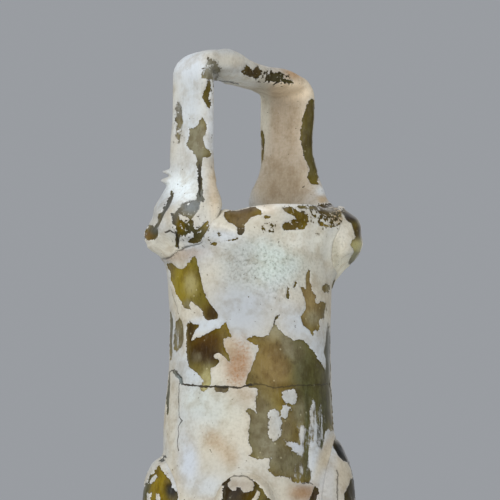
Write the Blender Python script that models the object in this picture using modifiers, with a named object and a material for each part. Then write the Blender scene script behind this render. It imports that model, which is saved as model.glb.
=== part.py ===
"""Ancient glass kohl bottle: a hollow tube with a rolled lip, a basket handle and four applied lugs.

Metres, +Z up. The tube stands on its underside with its axis on Z, and its front faces -Y.
"""

import math

import bmesh
import bpy
from mathutils import Vector

# The blown tube
RIM_HEIGHT = 0.1000
TOP_RADIUS = 0.0148
FOOT_RADIUS = 0.0156
WALL = 0.0024
FLOOR_THICKNESS = 0.0050
BASE_ROUNDING = 0.0050
BORE_END_ROUNDING = 0.0070

# The rolled lip, which leans: it stands higher on its right. Its section is an oval, open where the wall joins it.
LIP_THICKNESS = 0.0042
LIP_HEIGHT = 0.0054
LIP_BULGE = 0.0004
LIP_RUNOUT = 0.0027
LIP_INNER_ANGLE = 205
LIP_OUTER_ANGLE = -25
LIP_SLOPE = 0.19
LEAN_LENGTH = 0.030

# The shallow fold in the wall under the near end of the handle
FOLD_TURN = math.radians(-125)
FOLD_DEPTH = 0.0012
FOLD_WIDTH = 0.0060
FOLD_TOP = 0.0080
FOLD_LENGTH = 0.0240

# The basket handle: a strap in an upright plane that stands a little off the tube's axis
HANDLE_TURN = math.radians(50)
HANDLE_SPAN = 0.0270
HANDLE_OFFSET = 0.0019
HANDLE_RISE = 0.0301
LEG_THICKNESS = 0.0038
NEAR_BAR_THICKNESS = 0.0047
FAR_BAR_THICKNESS = 0.0037
NEAR_WIDTH = 0.0086
FAR_WIDTH = 0.0114
NEAR_CORNER = 0.0032
FAR_CORNER = 0.0018

# Each end of the strap spreads into a pad that is folded down over the outside of the lip.
# Heights are measured from the middle of the rim.
NEAR_PAD = {
    "turn": math.radians(207),
    "half_width": 0.0087,
    "reach": 0.0050,
    "start": 0.0080,
    "widest": -0.0020,
    "bottom": -0.0064,
}
FAR_PAD = {
    "turn": math.radians(30),
    "half_width": 0.0132,
    "reach": 0.0063,
    "start": 0.0110,
    "widest": -0.0034,
    "bottom": -0.0106,
}
PAD_ROOT = 0.0026
PAD_END_SHARE = 0.15
PAD_END_NARROWING = 0.7

# How the strap turns into a pad on its way down: powers above 1 come late, powers below 1 early
PLACE_EASE = 1.5
REACH_EASE = 1.3
WIDTH_EASE = 0.8

# Roundness of the strap's section: 1 is an oval, and less is nearer to a rectangle
STRAP_ROUNDNESS = 0.65
PAD_ROUNDNESS = 0.85

# The lugs: turn, height of the middle, half width and half height
LUG_REACH = 0.0038
LUGS = {
    "lug_right": (math.radians(2), 0.0498, 0.0108, 0.0112),
    "lug_back": (math.radians(90), 0.0480, 0.0088, 0.0092),
    "lug_left": (math.radians(182), 0.0493, 0.0108, 0.0090),
    "lug_front": (math.radians(267), 0.0458, 0.0056, 0.0084),
}

# Gap between pieces that touch
GAP = 0.0003

# How finely round forms are cut
TURN_STEPS = 56
LIP_STEPS = 12
WALL_STEPS = 8
ROUNDING_STEPS = 5
SECTION_POINTS = 20
FOOT_SLICES = 14
CORNER_STEPS = 5
LUG_SEGMENTS = 24
LUG_RINGS = 14
MERGE_DISTANCE = 0.00001
SHARP_ANGLE = math.radians(50)

# Colours and roughness: pale crust on the tube, a warmer one on the handle, dark glass on the lugs
BODY_COLOUR = (0.60, 0.58, 0.53)
HANDLE_COLOUR = (0.60, 0.55, 0.48)
LUG_COLOUR = (0.20, 0.17, 0.06)
CRUST_ROUGHNESS = 0.55
GLASS_ROUGHNESS = 0.35


def clear_scene():
    for old in list(bpy.data.objects):
        bpy.data.objects.remove(old, do_unlink=True)


def new_collection(name):
    collection = bpy.data.collections.new(name)
    bpy.context.scene.collection.children.link(collection)
    return collection


def glass(name, colour, roughness):
    """Old glass under a pale weathering crust."""
    material = bpy.data.materials.new(name)
    material.use_nodes = True
    shader = material.node_tree.nodes["Principled BSDF"]
    shader.inputs["Base Color"].default_value = (*colour, 1.0)
    shader.inputs["Roughness"].default_value = roughness
    shader.inputs["Metallic"].default_value = 0.0
    return material


def smooth_step(value):
    value = min(max(value, 0.0), 1.0)
    return value * value * (3.0 - 2.0 * value)


def mix(low, high, share):
    return low + (high - low) * share


def direction(turn):
    return Vector((math.cos(turn), math.sin(turn), 0.0))


def rounded(angle, power):
    """Cosine and sine of an angle, swollen towards a square."""
    cosine, sine = math.cos(angle), math.sin(angle)
    return math.copysign(abs(cosine) ** power, cosine), math.copysign(abs(sine) ** power, sine)


def arc(centre, radius, start, end, count):
    """Points of an arc in an upright plane, angles in degrees."""
    points = []
    for i in range(count + 1):
        angle = math.radians(mix(start, end, i / count))
        points.append((centre[0] + radius * math.cos(angle), centre[1] + radius * math.sin(angle)))
    return points


def tube_radius(height):
    """The tube's outer radius: it widens a little towards the foot."""
    return mix(FOOT_RADIUS, TOP_RADIUS, min(max(height / RIM_HEIGHT, 0.0), 1.0))


def lip_section(grow=0.0):
    """The lip's rounded section, from its inner side over the top to its outer side."""
    half_thickness = LIP_THICKNESS / 2
    half_height = LIP_HEIGHT / 2
    middle = tube_radius(RIM_HEIGHT) + LIP_BULGE - half_thickness
    points = []
    for i in range(LIP_STEPS + 1):
        angle = math.radians(mix(LIP_INNER_ANGLE, LIP_OUTER_ANGLE, i / LIP_STEPS))
        points.append((
            middle + (half_thickness + grow) * math.cos(angle),
            RIM_HEIGHT - half_height + (half_height + grow) * math.sin(angle),
        ))
    return points


def outer_side(grow=0.0):
    """The tube's outside below the lip, top to bottom, ending flat on the base."""
    top = RIM_HEIGHT - LIP_HEIGHT - LIP_RUNOUT
    points = []
    for i in range(WALL_STEPS + 1):
        height = mix(top, BASE_ROUNDING, i / WALL_STEPS)
        points.append((tube_radius(height) + grow, height))
    corner = tube_radius(BASE_ROUNDING) - BASE_ROUNDING
    return points + arc((corner, BASE_ROUNDING), BASE_ROUNDING + grow, 0, -90, ROUNDING_STEPS)[1:]


def inner_side():
    """The bore, from the middle of its rounded bottom up to the lip."""
    bottom = FLOOR_THICKNESS + BORE_END_ROUNDING
    top = RIM_HEIGHT - LIP_HEIGHT - LIP_RUNOUT
    bore = tube_radius(bottom) - WALL
    points = [(0.0, FLOOR_THICKNESS)]
    points += arc((bore - BORE_END_ROUNDING, bottom), BORE_END_ROUNDING, -90, 0, ROUNDING_STEPS)
    for i in range(1, WALL_STEPS + 1):
        height = mix(bottom, top, i / WALL_STEPS)
        points.append((tube_radius(height) - WALL, height))
    return points


def made_mesh(source):
    """Replaces an object by a plain mesh of what its modifiers make."""
    name = source.name
    bpy.context.view_layer.update()
    evaluated = source.evaluated_get(bpy.context.evaluated_depsgraph_get())
    mesh = bpy.data.meshes.new_from_object(evaluated)
    collection = source.users_collection[0]
    bpy.data.objects.remove(source, do_unlink=True)
    mesh.name = name
    result = bpy.data.objects.new(name, mesh)
    collection.objects.link(result)
    return result


def turned(name, profile, collection):
    """A profile in the XZ plane turned round Z, as a plain mesh object."""
    mesh = bpy.data.meshes.new(name)
    edges = [(i, i + 1) for i in range(len(profile) - 1)]
    mesh.from_pydata([(radius, 0.0, height) for radius, height in profile], edges, [])
    flat = bpy.data.objects.new(name, mesh)
    collection.objects.link(flat)
    screw = flat.modifiers.new("Screw", "SCREW")
    screw.axis = "Z"
    screw.angle = math.tau
    screw.steps = TURN_STEPS
    screw.render_steps = TURN_STEPS
    screw.use_merge_vertices = True
    screw.merge_threshold = MERGE_DISTANCE
    return made_mesh(flat)


def wall_form(point):
    """Where a point of the true turned form lies on the real, hand-made wall."""
    lean = LIP_SLOPE * point.x * smooth_step((point.z - RIM_HEIGHT + LEAN_LENGTH) / LEAN_LENGTH)
    radius = math.hypot(point.x, point.y)
    depth = 0.0
    along = (RIM_HEIGHT - FOLD_TOP - point.z) / FOLD_LENGTH
    if radius > WALL and 0.0 < along < 1.0:
        swing = math.remainder(math.atan2(point.y, point.x) - FOLD_TURN, math.tau)
        across = swing * tube_radius(point.z) / FOLD_WIDTH
        depth = FOLD_DEPTH * math.exp(-across * across) * math.sin(math.pi * along)
    share = 1.0 - depth / max(radius, WALL)
    return Vector((point.x * share, point.y * share, point.z + lean))


def form_wall(obj):
    for vertex in obj.data.vertices:
        vertex.co = wall_form(vertex.co)


def make_body(collection):
    """The blown tube, open at the mouth, with its lip rolled inwards."""
    body = turned("body", inner_side() + lip_section() + outer_side() + [(0.0, 0.0)], collection)
    form_wall(body)
    return body


def make_seat(collection):
    """The body's outer form, filled and grown by the gap: the applied pieces are cut by it."""
    half_lip = lip_section(GAP)[LIP_STEPS // 2:]
    profile = [(0.0, RIM_HEIGHT + GAP)] + half_lip + outer_side(GAP) + [(0.0, -GAP)]
    seat = turned("seat", profile, collection)
    form_wall(seat)
    seat.hide_render = True
    seat.display_type = "WIRE"
    return seat


def slice_points(middle, outward, sideways, half_width, half_thickness, bend, power):
    """A rounded flat section round a middle point. Its width follows a circle of radius 1 / bend."""
    points = []
    for j in range(SECTION_POINTS):
        cosine, sine = rounded(math.tau * j / SECTION_POINTS, power)
        across = half_width * cosine
        out = half_thickness * sine
        swing = across * bend
        sag = across * math.sin(swing / 2)
        side_shift = across * math.cos(swing / 2) + out * math.sin(swing)
        points.append(middle + sideways * side_shift + outward * (out * math.cos(swing) - sag))
    return points


def foot_slices(side, leg_width, pad):
    """Level slices of one end of the strap, from the pad's bottom up to where the leg stands straight."""
    leg_point = direction(HANDLE_TURN) * (side * HANDLE_SPAN / 2)
    leg_point += direction(HANDLE_TURN + math.pi / 2) * HANDLE_OFFSET
    leg_radius = leg_point.length
    leg_place = math.atan2(leg_point.y, leg_point.x)
    leg_turn = HANDLE_TURN if side > 0 else HANDLE_TURN + math.pi
    slices = []
    for i in range(FOOT_SLICES):
        climb = math.sin(math.pi / 2 * i / (FOOT_SLICES - 1))
        height = mix(pad["bottom"], pad["start"], climb)
        spread = smooth_step((pad["start"] - height) / (pad["start"] - pad["widest"]))
        below = max(pad["widest"] - height, 0.0) / (pad["widest"] - pad["bottom"])
        closing = mix(math.sqrt(1.0 - min(below * below, 1.0)), 1.0, PAD_END_SHARE * below)
        place = leg_place + math.remainder(pad["turn"] - leg_place, math.tau) * spread ** PLACE_EASE
        facing = leg_turn + math.remainder(pad["turn"] - leg_turn, math.tau) * spread
        inner = mix(leg_radius - LEG_THICKNESS / 2, TOP_RADIUS - PAD_ROOT, spread)
        pad_radius = TOP_RADIUS + pad["reach"] * closing
        outer = mix(leg_radius + LEG_THICKNESS / 2, pad_radius, spread ** REACH_EASE)
        half_width = mix(leg_width / 2, pad["half_width"], spread ** WIDTH_EASE)
        radius = (inner + outer) / 2
        slices.append(slice_points(
            direction(place) * radius + Vector((0.0, 0.0, RIM_HEIGHT + height)),
            direction(facing),
            direction(facing + math.pi / 2),
            half_width * mix(1.0, closing, PAD_END_NARROWING),
            (outer - inner) / 2,
            spread / radius,
            mix(STRAP_ROUNDNESS, PAD_ROUNDNESS, spread),
        ))
    return slices


def corner_slices(side, width, corner, bar_thickness):
    """Slices of the strap round one of its upper corners, going up from the leg to the top bar."""
    along = direction(HANDLE_TURN) * side
    across = direction(HANDLE_TURN + math.pi / 2)
    top = RIM_HEIGHT + HANDLE_RISE
    slices = []
    for i in range(CORNER_STEPS + 1):
        share = i / CORNER_STEPS
        angle = math.pi / 2 * share
        outward = along * math.cos(angle) + Vector((0.0, 0.0, math.sin(angle)))
        thickness = mix(LEG_THICKNESS, bar_thickness, share)
        outer_corner = corner + LEG_THICKNESS / 2
        centre = along * (HANDLE_SPAN / 2 + LEG_THICKNESS / 2 - outer_corner) + across * HANDLE_OFFSET
        centre.z = top - outer_corner
        slices.append(slice_points(
            centre + outward * (outer_corner - thickness / 2),
            outward,
            across * side,
            width / 2,
            thickness / 2,
            0.0,
            STRAP_ROUNDNESS,
        ))
    return slices


def loft(name, rings, collection):
    """A closed skin over rings of as many points each."""
    bm = bmesh.new()
    corners = [[bm.verts.new(point) for point in ring] for ring in rings]
    count = len(corners[0])
    for lower, upper in zip(corners, corners[1:]):
        for j in range(count):
            k = (j + 1) % count
            bm.faces.new((lower[j], lower[k], upper[k], upper[j]))
    bm.faces.new(corners[0])
    bm.faces.new(reversed(corners[-1]))
    bmesh.ops.recalc_face_normals(bm, faces=bm.faces)
    mesh = bpy.data.meshes.new(name)
    bm.to_mesh(mesh)
    bm.free()
    obj = bpy.data.objects.new(name, mesh)
    collection.objects.link(obj)
    return obj


def cut_by(target, seat):
    """Takes what lies inside the seat off a piece, with an exact Boolean."""
    cut = target.modifiers.new("Seat", "BOOLEAN")
    cut.operation = "DIFFERENCE"
    cut.solver = "EXACT"
    cut.object = seat
    return made_mesh(target)


def make_handle(collection, seat):
    near = foot_slices(-1, NEAR_WIDTH, NEAR_PAD)
    near += corner_slices(-1, NEAR_WIDTH, NEAR_CORNER, NEAR_BAR_THICKNESS)
    far = foot_slices(1, FAR_WIDTH, FAR_PAD)
    far += corner_slices(1, FAR_WIDTH, FAR_CORNER, FAR_BAR_THICKNESS)
    half_turn = SECTION_POINTS // 2
    for ring in far:
        ring.reverse()
        ring[:] = ring[half_turn - 1:] + ring[:half_turn - 1]
    return cut_by(loft("basket_handle", near + far[::-1], collection), seat)


def make_lug(name, collection, seat):
    """A lump of glass pressed on the tube: a flattened ball bent round the tube's axis."""
    turn, height, half_width, half_height = LUGS[name]
    radius = tube_radius(height)
    bm = bmesh.new()
    bmesh.ops.create_uvsphere(bm, u_segments=LUG_SEGMENTS, v_segments=LUG_RINGS, radius=1.0)
    for vertex in bm.verts:
        angle = turn + vertex.co.x * half_width / radius
        place = direction(angle) * (radius - vertex.co.y * LUG_REACH)
        vertex.co = place + Vector((0.0, 0.0, height + vertex.co.z * half_height))
    bmesh.ops.recalc_face_normals(bm, faces=bm.faces)
    mesh = bpy.data.meshes.new(name)
    bm.to_mesh(mesh)
    bm.free()
    lug = bpy.data.objects.new(name, mesh)
    collection.objects.link(lug)
    return cut_by(lug, seat)


def finish(obj, material):
    obj.data.materials.clear()
    obj.data.materials.append(material)
    obj.data.shade_smooth()
    obj.data.set_sharp_from_angle(angle=SHARP_ANGLE)


clear_scene()
bottle = new_collection("kohl_bottle")
guides = new_collection("guides")

body_seat = make_seat(guides)
finish(make_body(bottle), glass("body_glass", BODY_COLOUR, CRUST_ROUGHNESS))
finish(make_handle(bottle, body_seat), glass("handle_glass", HANDLE_COLOUR, CRUST_ROUGHNESS))
for lug_name in LUGS:
    finish(make_lug(lug_name, bottle, body_seat), glass(lug_name + "_glass", LUG_COLOUR, GLASS_ROUGHNESS))
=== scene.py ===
"""Looks of an ancient glass kohl bottle: weathered olive glass, seen where its pale crust has flaked off.

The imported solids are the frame. Metres, +Z up, with the bottle's front facing -Y.
"""

import math

import bpy
import numpy as np
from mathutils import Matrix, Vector, noise
from mathutils.bvhtree import BVHTree


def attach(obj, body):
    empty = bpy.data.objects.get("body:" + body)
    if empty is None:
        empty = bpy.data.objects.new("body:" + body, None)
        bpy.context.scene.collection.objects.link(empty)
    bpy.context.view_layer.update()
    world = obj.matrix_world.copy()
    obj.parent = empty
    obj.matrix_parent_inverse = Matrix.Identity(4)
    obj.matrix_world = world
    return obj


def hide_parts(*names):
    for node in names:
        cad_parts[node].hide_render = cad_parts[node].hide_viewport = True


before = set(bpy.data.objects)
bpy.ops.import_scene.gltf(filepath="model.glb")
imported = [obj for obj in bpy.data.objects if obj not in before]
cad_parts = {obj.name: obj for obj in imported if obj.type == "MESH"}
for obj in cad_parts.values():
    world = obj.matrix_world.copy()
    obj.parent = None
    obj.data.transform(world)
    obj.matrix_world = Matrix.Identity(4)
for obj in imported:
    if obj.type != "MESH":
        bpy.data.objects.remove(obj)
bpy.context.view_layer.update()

# The camera
# It stands level with the lower half of the bottle and looks up at the handle. Each pixel named in this
# script is one of this camera's view of 500 by 500.
VIEW_PIXELS = 500
FOCAL_PIXELS = 2095
CAMERA_DISTANCE = 0.375
CAMERA_TILT = math.radians(11)
LOOKED_AT = Vector((0.0002, 0.0, 0.0954))

look = Vector((0.0, math.cos(CAMERA_TILT), math.sin(CAMERA_TILT)))
look_up = Vector((0.0, -math.sin(CAMERA_TILT), math.cos(CAMERA_TILT)))
camera_data = bpy.data.cameras.new("camera")
camera_data.sensor_width = 36.0
camera_data.lens = FOCAL_PIXELS * camera_data.sensor_width / VIEW_PIXELS
camera_data.clip_start = 0.01
camera_data.clip_end = 20.0
camera = bpy.data.objects.new("camera", camera_data)
bpy.context.scene.collection.objects.link(camera)
camera.location = LOOKED_AT - look * CAMERA_DISTANCE
camera.rotation_euler = (math.pi / 2 + CAMERA_TILT, 0.0, 0.0)
bpy.context.scene.camera = camera

# The blown tube
# One gather of olive glass blown to a hollow tube, its lip rolled inwards and its base pressed flat. It
# leans up to the right at the lip, and dips under the near end of the handle.
MM = 0.001
RIM_HEIGHT = 0.1000
TOP_RADIUS = 0.0148
FOOT_RADIUS = 0.0156
WALL = 0.0024
FLOOR_THICKNESS = 0.0050
BASE_ROUNDING = 0.0050
BORE_END_ROUNDING = 0.0070
LIP_THICKNESS = 0.0042
LIP_HEIGHT = 0.0054
LIP_BULGE = 0.0004
LIP_RUNOUT = 0.0027
LIP_ARC_DEGREES = (-25, 205)
LIP_SLOPE = 0.19
LEAN_LENGTH = 0.030
FOLD_TURN = math.radians(-125)
FOLD_DEPTH = 0.0012
FOLD_WIDTH = 0.0060
FOLD_TOP = 0.0080
FOLD_LENGTH = 0.0240
WALL_STEPS_ROUND = 296
BORE_STEPS_ROUND = 88
FINE_STEP = 0.00033
PLAIN_STEP = 0.00085
BORE_STEP = 0.0022
FINE_FROM_HEIGHT = 0.040
MERGE_DISTANCE = 0.00001


def ramp(value, low, high):
    """0 below low and 1 above high, with a smooth climb between."""
    share = np.clip((value - low) / (high - low), 0.0, 1.0)
    return share * share * (3.0 - 2.0 * share)


def arc(centre, radii, start, end, step):
    """Points of an oval arc in the XZ plane, without its first. The angles are in degrees."""
    count = max(2, round(math.radians(abs(end - start)) * sum(radii) / 2 / step))
    angles = np.radians(np.linspace(start, end, count + 1)[1:])
    return [(centre[0] + radii[0] * math.cos(a), centre[1] + radii[1] * math.sin(a)) for a in angles]


def line(start, end, step):
    """Points of a straight line in the XZ plane, about a step apart, without its first."""
    count = max(1, round(math.dist(start, end) / step))
    return [tuple(point) for point in np.linspace(start, end, count + 1)[1:]]


def tube_radius(height):
    return FOOT_RADIUS + (TOP_RADIUS - FOOT_RADIUS) * np.clip(height / RIM_HEIGHT, 0.0, 1.0)


def side_point(height, inwards=0.0):
    """The point of the plain wall's side at a height."""
    return (float(tube_radius(height)) - inwards, height)


def spun(name, profile, steps):
    """Draws a profile point by point, spins it round Z and closes the seam."""
    bpy.ops.object.select_all(action="DESELECT")
    bpy.ops.mesh.primitive_plane_add(size=MM, location=(0.0, 0.0, 0.0))
    shape = bpy.context.object
    shape.name = name
    bpy.ops.object.mode_set(mode="EDIT")
    bpy.ops.mesh.merge(type="CENTER")
    start = profile[0]
    bpy.ops.transform.translate(value=(start[0], 0.0, start[1]))
    for (x, z), (next_x, next_z) in zip(profile, profile[1:]):
        step = (next_x - x, 0.0, next_z - z)
        bpy.ops.mesh.extrude_region_move(TRANSFORM_OT_translate={"value": step})
    bpy.ops.mesh.select_all(action="SELECT")
    bpy.ops.mesh.spin(steps=steps, angle=math.tau, center=(0.0, 0.0, 0.0), axis=(0.0, 0.0, 1.0))
    bpy.ops.mesh.select_all(action="SELECT")
    bpy.ops.mesh.remove_doubles(threshold=MERGE_DISTANCE)
    bpy.ops.object.mode_set(mode="OBJECT")
    return shape


wall_top = RIM_HEIGHT - LIP_HEIGHT - LIP_RUNOUT
flat_radius = float(tube_radius(BASE_ROUNDING)) - BASE_ROUNDING
lip_centre = (TOP_RADIUS + LIP_BULGE - LIP_THICKNESS / 2, RIM_HEIGHT - LIP_HEIGHT / 2)
lip_radii = (LIP_THICKNESS / 2, LIP_HEIGHT / 2)
bore_top = side_point(wall_top, WALL)

outside = [(0.0, 0.0)]
outside += line(outside[-1], (flat_radius, 0.0), 3 * FINE_STEP)
outside += arc((flat_radius, BASE_ROUNDING), (BASE_ROUNDING, BASE_ROUNDING), -90, 0, PLAIN_STEP)
outside += line(outside[-1], side_point(FINE_FROM_HEIGHT), PLAIN_STEP)
outside += line(outside[-1], side_point(wall_top), FINE_STEP)
lip_arc = arc(lip_centre, lip_radii, *LIP_ARC_DEGREES, FINE_STEP)
outside += line(outside[-1], lip_arc[0], FINE_STEP) + lip_arc[1:]
outside += line(outside[-1], bore_top, 2 * FINE_STEP)

bore_foot = side_point(FLOOR_THICKNESS + BORE_END_ROUNDING, WALL)
bore_bend = (bore_foot[0] - BORE_END_ROUNDING, bore_foot[1])
bore = [bore_top] + line(bore_top, bore_foot, BORE_STEP)
bore += arc(bore_bend, (BORE_END_ROUNDING, BORE_END_ROUNDING), 0, -90, BORE_STEP)
bore += line(bore[-1], (0.0, FLOOR_THICKNESS), BORE_STEP)

body = spun("weathered_tube", outside, WALL_STEPS_ROUND)
bore_shell = spun("bore", bore[1:], BORE_STEPS_ROUND)
bpy.ops.object.select_all(action="DESELECT")
bore_shell.select_set(True)
body.select_set(True)
bpy.context.view_layer.objects.active = body
bpy.ops.object.join()

# The two shells meet at their only open edges, which are bridged
bpy.ops.object.mode_set(mode="EDIT")
bpy.ops.mesh.select_mode(type="EDGE")
bpy.ops.mesh.select_all(action="DESELECT")
other_kinds = {"use_wire": False, "use_multi_face": False, "use_non_contiguous": False}
bpy.ops.mesh.select_non_manifold(extend=False, **other_kinds)
bpy.ops.mesh.bridge_edge_loops()
bpy.ops.mesh.select_all(action="SELECT")
bpy.ops.mesh.normals_make_consistent(inside=False)
bpy.ops.object.mode_set(mode="OBJECT")


def read(piece, what="co"):
    """Each vertex's place, or its normal."""
    flat = np.empty(len(piece.data.vertices) * 3, np.float32)
    piece.data.vertices.foreach_get(what, flat)
    return flat.reshape(-1, 3).astype(float)


def move_points(piece, points):
    piece.data.vertices.foreach_set("co", points.astype(np.float32).ravel())
    piece.data.update()


def wall_form(points):
    """Leans the lip and dips the wall, as on the solid."""
    x, y, z = points.T
    radius = np.hypot(x, y)
    along = (RIM_HEIGHT - FOLD_TOP - z) / FOLD_LENGTH
    swing = np.remainder(np.arctan2(y, x) - FOLD_TURN + math.pi, math.tau) - math.pi
    across = swing * tube_radius(z) / FOLD_WIDTH
    inside = (radius > WALL) & (along > 0.0) & (along < 1.0)
    depth = np.where(inside, FOLD_DEPTH * np.exp(-across ** 2) * np.sin(math.pi * along), 0.0)
    share = 1.0 - depth / np.maximum(radius, WALL)
    lean = LIP_SLOPE * x * ramp(z, RIM_HEIGHT - LEAN_LENGTH, RIM_HEIGHT)
    return np.column_stack((x * share, y * share, z + lean))


def seen_pixels(points):
    """Where the camera sees points, in pixels."""
    offset = points - np.array(camera.location)
    distance = offset @ np.array(look)
    columns = VIEW_PIXELS / 2 + FOCAL_PIXELS * offset[:, 0] / distance
    rows = VIEW_PIXELS / 2 - FOCAL_PIXELS * (offset @ np.array(look_up)) / distance
    return np.column_stack((columns, rows))


OVAL_SOFTNESS = 1.5


def soft_oval(u, v):
    """1 in the middle of an oval, and softly down to nothing past its edge."""
    return np.exp(-(u * u + v * v) ** OVAL_SOFTNESS)


def pulled(points, moves, nearer_share=1.0):
    """Pulls a surface, as the camera sees it. A move is (column, row) and (half width, half height) in
    pixels, and (right, up, nearer) in millimetres."""
    pixels = seen_pixels(points)
    amounts = np.zeros((len(points), 3))
    for place, half_size, amount in moves:
        u, v = ((pixels - place) / half_size).T
        amounts += soft_oval(u, v)[:, None] * np.array(amount) * MM
    amounts[:, 2] *= nearer_share
    return points + amounts @ np.array(((1.0, 0.0, 0.0), look_up, -look))


# The tube is waisted. Its lip swells to meet both ends of the handle, and its wall to meet the lugs.
TUBE_MOVES = [
    ((160, 342), (18, 64), (0.85, 0, 0)), ((340, 352), (18, 60), (-0.50, 0, 0)),
    ((338, 222), (16, 17), (1.30, 0.3, 0.8)), ((338, 256), (9, 22), (0.70, 0, 0.2)),
    ((328, 238), (10, 16), (0.2, 0, 0.9)), ((222, 216), (12, 9), (0, 0.5, 0)),
    ((256, 208), (31, 9), (0, 0.42, 0)), ((214, 236), (13, 11), (0, 0, 0.4)),
    ((170, 486), (17, 36), (0, 0, 0.9)), ((327, 484), (13, 40), (0, 0, 0.9)),
    ((243, 488), (34, 22), (0, 0, 0.5)),
]

# The wall rolled out flat: millimetres round to the right from the front, and up, on over the lip
WALL_RADIUS_MM = 15.2
LIP_PATH_MM = 2.45
LIP_TOP_SHARE = 0.995
RAY_ROUNDS = 4
AIM_ROUNDS = 5


def rolled_out(points):
    x, y, z = (points / MM).T
    up = z - lip_centre[1] / MM
    over = lip_centre[1] / MM + LIP_PATH_MM * np.arctan2(up, np.hypot(x, y) - lip_centre[0] / MM)
    return np.column_stack((WALL_RADIUS_MM * np.arctan2(x, -y), np.where(up > 0.0, over, z)))


def met_by_ray(column, row):
    """Where the camera's ray through a pixel meets the plain tube, or comes nearest to it."""
    ray = look + look_up * ((VIEW_PIXELS / 2 - row) / FOCAL_PIXELS)
    ray = ray + Vector(((column - VIEW_PIXELS / 2) / FOCAL_PIXELS, 0.0, 0.0))
    eye = camera.location
    place = LOOKED_AT
    for _ in range(RAY_ROUNDS):
        a = ray.x ** 2 + ray.y ** 2
        b = eye.x * ray.x + eye.y * ray.y
        c = eye.x ** 2 + eye.y ** 2 - float(tube_radius(place.z)) ** 2
        place = eye + ray * ((-b - math.sqrt(max(b * b - a * c, 0.0))) / a)
    return place


def on_wall(pixels):
    """Where pixels lie on the rolled-out wall. It aims at the plain tube until it meets the formed one."""
    pixels = np.array(pixels, float)
    aimed = pixels.copy()
    for _ in range(AIM_ROUNDS):
        plain = np.array([met_by_ray(column, row) for column, row in aimed])
        aimed += pixels - seen_pixels(pulled(wall_form(plain), TUBE_MOVES))
    x, y, z = plain.T
    middle = lip_centre[1]
    up = middle / MM + LIP_PATH_MM * np.arcsin(np.clip((z - middle) / lip_radii[1], 0.0, LIP_TOP_SHARE))
    return np.column_stack((WALL_RADIUS_MM * np.arctan2(x, -y), np.where(z > middle, up, z / MM)))


PATCH_REACH_MM = 2.5
TINY = 1e-9


def depth_inside(places, outline):
    """How deep places lie inside a closed outline, and below 0 outside it, in millimetres."""
    reach = PATCH_REACH_MM
    depth = np.full(len(places), -reach)
    near = np.all((places > outline.min(0) - reach) & (places < outline.max(0) + reach), axis=1)
    x, y = places[near].T
    distance = np.full(len(x), reach)
    inside = np.zeros(len(x), bool)
    for (ax, ay), (bx, by) in zip(outline, np.roll(outline, -1, axis=0)):
        ex, ey = bx - ax, by - ay
        along = np.clip(((x - ax) * ex + (y - ay) * ey) / max(ex * ex + ey * ey, TINY), 0.0, 1.0)
        distance = np.minimum(distance, np.hypot(x - ax - along * ex, y - ay - along * ey))
        crossed = (ay > y) != (by > y)
        inside ^= crossed & (x < ax + (y - ay) * ex / (ey if ey else TINY))
    depth[near] = np.where(inside, distance, -distance)
    return depth


# A patch gets a steep edge, so that the crust's ragged edge doesn't swallow a small one
STEEP_EDGE = 1.8


def patched(places, losses, islands, island_edge=1.0):
    """How deep places lie in the bare patches, outside the islands of crust in them, in millimetres."""
    bare = np.full(len(places), -PATCH_REACH_MM)
    for outline in losses:
        bare = np.maximum(bare, STEEP_EDGE * depth_inside(places, outline))
    for outline in islands:
        bare = np.minimum(bare, -island_edge * depth_inside(places, outline))
    return bare


NOISE_GAIN = 0.9
NOISE_FINENESS = 2.0
SEED_SHIFT = np.array((7.3, 3.1, 5.7))


def rough(points, size_mm, seed, octaves):
    """Cloudy noise from about -1 to 1, with lumps of a size in millimetres."""
    shifted = points / (size_mm * MM) + seed * SEED_SHIFT
    return np.array([noise.fractal(Vector(p), NOISE_GAIN, NOISE_FINENESS, octaves) for p in shifted])


# What has flaked off the front of the tube, as outlines read in pixels of the camera's view. The first
# two run on over the handle and a lug.
BY_FAR_PAD = [
    (318, 203.5), (330, 203), (338, 206), (336, 208.5), (333, 210), (331, 216), (326, 217), (321, 215.5),
    (317, 211),
]
ABOVE_LEFT_LUG = [(158.5, 461), (161.5, 457), (167.5, 455.5), (166, 459), (162, 461.5)]
GOLD_UNDER_PAD = [
    (168, 262), (173, 263), (176, 267), (180, 268.5), (184, 267), (188, 263), (191, 260), (192, 257),
    (196, 256), (197, 261), (199, 270), (201, 280), (203, 289), (205, 296), (208, 301), (211, 305),
    (214, 309), (218, 315), (217, 318.5), (212, 320), (205, 319.5), (203, 317), (203, 313), (200, 308),
    (196, 305.5), (193, 303), (190, 302), (188, 305), (191, 310), (188, 309), (184, 307), (181, 303),
    (177, 297), (174, 290), (171, 282), (170, 274), (168, 268),
]
AMBER_HOOK = [
    (189, 320.5), (193.5, 323.5), (199.5, 325.5), (198.5, 327), (195, 329.5), (193.5, 333.5), (192, 336.5),
    (190.5, 341), (197, 337), (207, 333), (215.5, 329.5), (220, 328), (219.5, 325.5), (223, 324),
    (225.5, 320.5), (227, 326.5), (228.5, 330.5), (231, 336.5), (227, 337.5), (223.5, 339), (223.5, 346),
    (226, 351), (228.5, 356), (230, 363), (227, 359.5), (224, 356), (219.5, 353), (215.5, 353),
    (213.5, 355), (214, 358), (217, 358.5), (219, 362), (215, 366.5), (210, 367.5), (209.5, 371),
    (210.5, 376.5), (210, 384), (207, 388.5), (203, 392), (200, 389.5), (201, 385), (202, 380), (199, 376),
    (193.5, 370.5), (188.5, 365), (186.5, 359), (185.5, 348), (185.5, 333.5), (186.5, 325),
]
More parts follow.
